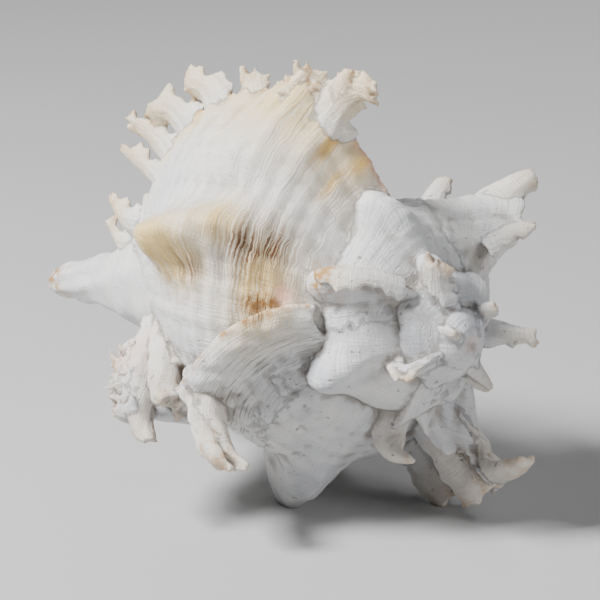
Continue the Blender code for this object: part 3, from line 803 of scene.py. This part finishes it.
class Nodes:
    """A short way to add nodes to a material."""

    def __init__(self, material):
        material.use_nodes = True
        self.tree = material.node_tree
        self.surface = self.tree.nodes["Principled BSDF"]

    def new(self, kind, **values):
        node = self.tree.nodes.new(kind)
        for name, value in values.items():
            setattr(node, name, value)
        return node

    def set(self, socket, value):
        if isinstance(value, bpy.types.NodeSocket):
            self.tree.links.new(value, socket)
        elif value is not None:
            socket.default_value = value

    def value(self, name):
        return self.new("ShaderNodeAttribute", attribute_name=name).outputs["Fac"]

    def maths(self, operation, a, b=None, c=None):
        node = self.new("ShaderNodeMath", operation=operation)
        for socket, value in zip(node.inputs, (a, b, c)):
            self.set(socket, value)
        return node.outputs[0]

    def ramp(self, value, low, high):
        """0 below low, 1 above high, smooth between."""
        node = self.new("ShaderNodeMapRange", interpolation_type="SMOOTHSTEP")
        self.set(node.inputs["Value"], value)
        node.inputs["From Min"].default_value = low
        node.inputs["From Max"].default_value = high
        return node.outputs["Result"]

    def vector(self, x, y, z=0.0):
        node = self.new("ShaderNodeCombineXYZ")
        for socket, value in zip(node.inputs, (x, y, z)):
            self.set(socket, value)
        return node.outputs[0]

    def noise(self, vector, scale, detail=3.0, rough=0.55):
        node = self.new("ShaderNodeTexNoise")
        self.set(node.inputs["Vector"], vector)
        node.inputs["Scale"].default_value = scale
        node.inputs["Detail"].default_value = detail
        node.inputs["Roughness"].default_value = rough
        return node.outputs["Fac"]

    def mix(self, share, a, b):
        node = self.new("ShaderNodeMix", data_type="RGBA")
        self.set(node.inputs[0], share)
        self.set(node.inputs[6], a)
        self.set(node.inputs[7], b)
        return node.outputs[2]

    def bumped(self, height, distance, strength, normal=None):
        node = self.new("ShaderNodeBump")
        self.set(node.inputs["Height"], height)
        node.inputs["Distance"].default_value = distance
        node.inputs["Strength"].default_value = strength
        self.set(node.inputs["Normal"], normal)
        return node.outputs["Normal"]


# How fine the clouds, grain, pits and tan specks are, as noise scales
CLOUD_SCALE = 28.0
GRAIN_SCALE = 900.0
PIT_SCALE = 420.0
TAN_SCALE = 260.0

# How high the cords, growth lines and grain seem to stand, in metres
CORD_DEPTH = 0.0009
LINE_DEPTH = 0.0007
GRAIN_DEPTH = 0.0002

# Colours of the shell, its stains and pits, and of the shade painted into its hollows and growth
# grooves
WHITE = (0.74, 0.73, 0.71, 1)
COOL = (0.52, 0.53, 0.56, 1)
CREAM = (0.74, 0.54, 0.22, 1)
OCHRE = (0.46, 0.25, 0.07, 1)
UMBER = (0.13, 0.045, 0.01, 1)
YELLOW = (0.78, 0.46, 0.09, 1)
GREY = (0.17, 0.17, 0.18, 1)
PINK = (0.78, 0.42, 0.32, 1)
PIT_AND_SHADE_BROWN = (0.18, 0.14, 0.10, 1)


def shell_material():
    """Chalky white shell with fine cords, growth lines, pits, and cream, brown and pink stains, and
    shade painted into its hollows and growth grooves.
    """
    material = bpy.data.materials.new("weathered_shell")
    n = Nodes(material)
    cord, age = n.value("cord"), n.value("age")
    inside, worn, hollow = n.value("inside"), n.value("worn"), n.value("hollow")
    at = n.new("ShaderNodeTexCoord").outputs["Object"]

    wander = n.noise(n.vector(n.maths("MULTIPLY", cord, 0.05), n.maths("MULTIPLY", age, 0.05)), 3.0)
    bent = n.maths("ADD", cord, n.maths("MULTIPLY", wander, 4.0))
    cords = n.noise(n.vector(bent, n.maths("MULTIPLY", age, 0.03)), 1.3, 4.0, 0.65)
    lines = n.noise(n.vector(n.maths("MULTIPLY", cord, 0.05), age), 1.7, 3.0, 0.6)
    cloud = n.noise(at, CLOUD_SCALE, 4.0, 0.6)
    grain = n.noise(at, GRAIN_SCALE, 4.0, 0.6)
    pits = n.ramp(n.noise(at, PIT_SCALE, 2.0, 0.5), 0.66, 0.74)

    age_tint = n.maths("MULTIPLY_ADD", worn, 0.6, 0.4)
    colour = n.mix(n.maths("MULTIPLY", n.ramp(cloud, 0.36, 0.70), age_tint), WHITE, COOL)
    cream = n.maths("MULTIPLY", n.value("cream"), n.ramp(cords, 0.2, 0.55))
    colour = n.mix(cream, colour, CREAM)
    tan = n.maths("MULTIPLY", n.value("tan"), n.ramp(n.noise(at, TAN_SCALE, 3.0), 0.4, 0.65))
    colour = n.mix(tan, colour, OCHRE)
    colour = n.mix(n.maths("MULTIPLY", n.value("yellow"), 0.8), colour, YELLOW)
    streaks = n.maths("MULTIPLY", n.ramp(cords, 0.42, 0.58), n.ramp(lines, 0.2, 0.42))
    streaks = n.maths("MAXIMUM", streaks, n.ramp(n.value("brown"), 1.0, 2.2))
    colour = n.mix(n.maths("MULTIPLY", n.value("brown"), streaks), colour, UMBER)
    colour = n.mix(n.maths("MULTIPLY", n.value("pink"), 0.8), colour, PINK)
    colour = n.mix(n.maths("MULTIPLY", inside, 0.35), colour, PINK)
    # Painted shade: the bottoms of the growth-line grooves are darkened grey, most where a varix is
    # grooved and a little on worn whorls
    depth = n.maths("MULTIPLY_ADD", n.value("grooved"), 0.9, n.maths("MULTIPLY", worn, 0.12))
    furrow_shade = n.maths("MULTIPLY", n.ramp(lines, 0.5, 0.34), depth)
    colour = n.mix(furrow_shade, colour, GREY)
    specks = n.maths("MULTIPLY", pits, n.maths("MULTIPLY_ADD", worn, 0.6, 0.05))
    # Painted shade: the mesh's hollows are darkened towards the pits' dark brown, more on the older
    # worn whorls; the pits themselves are real specks
    hollow_shade = n.maths("MULTIPLY", n.ramp(hollow, 0.03, 0.35),
                   n.maths("MULTIPLY_ADD", worn, 0.35, 0.25))
    colour = n.mix(n.maths("MAXIMUM", specks, hollow_shade), colour, PIT_AND_SHADE_BROWN)
    n.set(n.surface.inputs["Base Color"], colour)

    dull = n.maths("MULTIPLY_ADD", grain, 0.2, 0.42)
    dull = n.maths("SUBTRACT", dull, n.maths("MULTIPLY", inside, 0.18))
    n.set(n.surface.inputs["Roughness"], dull)
    n.surface.inputs["Specular IOR Level"].default_value = 0.4
    n.surface.inputs["Subsurface Weight"].default_value = 0.06
    n.surface.inputs["Subsurface Scale"].default_value = 0.003

    normal = n.bumped(cords, CORD_DEPTH, 0.7)
    normal = n.bumped(lines, LINE_DEPTH, 0.6, normal)
    pitted = n.maths("MULTIPLY", pits, n.maths("MULTIPLY_ADD", worn, 1.5, 0.2))
    normal = n.bumped(n.maths("SUBTRACT", grain, pitted), GRAIN_DEPTH, 0.5, normal)
    n.set(n.surface.inputs["Normal"], normal)
    return material


# The piece, the stage, the light and the camera


# The floor, in metres: half its width, where its bend starts, the bend's radius and the top
FLOOR_HALF = 3.0
BEND_FROM = 1.2
BEND_RADIUS = 0.8
BACKDROP_TOP = 3.0
FLOOR_GREY = (0.42, 0.42, 0.42)

# Lights: name, place and size in metres, and watts; all point at one spot inside the shell
LIGHTS = [("key_light", (-0.85, -0.35, 1.05), 0.35, 56), ("fill_light", (1.1, -0.7, 0.4), 0.5, 7),
          ("back_light", (0.5, 1.2, 0.9), 0.6, 6)]
LIT_SPOT = (0, 0, 0.06)
SKY_COLOUR = (0.80, 0.86, 0.95, 1)
SKY_STRENGTH = 0.08

# The camera: place in metres, tilt in degrees up from straight down, lens and sensor in
# millimetres, and how far it sees
CAMERA_AT = (0.0068742, -0.9890274, 0.3229097)
CAMERA_TILT = 75
LENS = 188.4
SENSOR = 36
SEES_TO = 20


def make_shell():
    """The one visible piece, which takes the place of the solid."""
    points, faces, paints = all_parts()
    mesh = joined(points, faces)
    roughened(mesh)
    mesh = thinned(mesh, TRIANGLES)
    cut_level(mesh)
    kept_in_box(mesh)
    paint_over(mesh, points, faces, paints)
    hollows(mesh)
    mesh.name = "murex_shell"
    mesh.materials.append(shell_material())
    mesh.shade_smooth()
    shell = bpy.data.objects.new("murex_shell", mesh)
    bpy.context.scene.collection.objects.link(shell)
    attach(shell, "root")
    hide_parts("shell")


def plain(name, colour, roughness):
    """A material of one colour."""
    material = bpy.data.materials.new(name)
    material.use_nodes = True
    surface = material.node_tree.nodes["Principled BSDF"]
    surface.inputs["Base Color"].default_value = (*colour, 1)
    surface.inputs["Roughness"].default_value = roughness
    return material


def make_floor():
    """A floor that curves up into a backdrop far behind the shell."""
    bend = [(BEND_FROM + BEND_RADIUS * math.sin(k), BEND_RADIUS - BEND_RADIUS * math.cos(k))
            for k in np.linspace(0.1, math.pi / 2, 16)]
    rows = [(-FLOOR_HALF, 0.0), (BEND_FROM, 0.0)] + bend
    rows.append((BEND_FROM + BEND_RADIUS, BACKDROP_TOP))
    points = [(x, y, z) for y, z in rows for x in (-FLOOR_HALF, FLOOR_HALF)]
    faces = [(2 * k, 2 * k + 1, 2 * k + 3, 2 * k + 2) for k in range(len(rows) - 1)]
    mesh = bpy.data.meshes.new("floor")
    mesh.from_pydata(points, [], faces)
    mesh.materials.append(plain("pale_floor", FLOOR_GREY, 0.8))
    mesh.shade_smooth()
    floor = bpy.data.objects.new("floor", mesh)
    bpy.context.scene.collection.objects.link(floor)


def add_light(name, location, size, watts):
    """A square lamp that points at the shell."""
    data = bpy.data.lights.new(name, "AREA")
    data.size = size
    data.energy = watts
    light = bpy.data.objects.new(name, data)
    light.location = location
    towards = Vector(LIT_SPOT) - light.location
    light.rotation_euler = towards.to_track_quat("-Z", "Y").to_euler()
    bpy.context.scene.collection.objects.link(light)


def make_light():
    """Soft studio light, strongest from above on the left, and a faint sky."""
    for light in LIGHTS:
        add_light(*light)
    world = bpy.data.worlds.new("studio")
    bpy.context.scene.world = world
    world.use_nodes = True
    sky = world.node_tree.nodes["Background"]
    sky.inputs["Color"].default_value = SKY_COLOUR
    sky.inputs["Strength"].default_value = SKY_STRENGTH


def make_camera():
    """The photograph's view, 15 degrees above the horizon and 1 metre from the shell."""
    data = bpy.data.cameras.new("camera")
    data.lens = LENS
    data.sensor_width = SENSOR
    data.clip_end = SEES_TO
    camera = bpy.data.objects.new("camera", data)
    camera.location = CAMERA_AT
    camera.rotation_euler = (math.radians(CAMERA_TILT), 0, 0)
    bpy.context.scene.collection.objects.link(camera)
    bpy.context.scene.camera = camera


make_camera()
make_shell()
make_floor()
make_light()
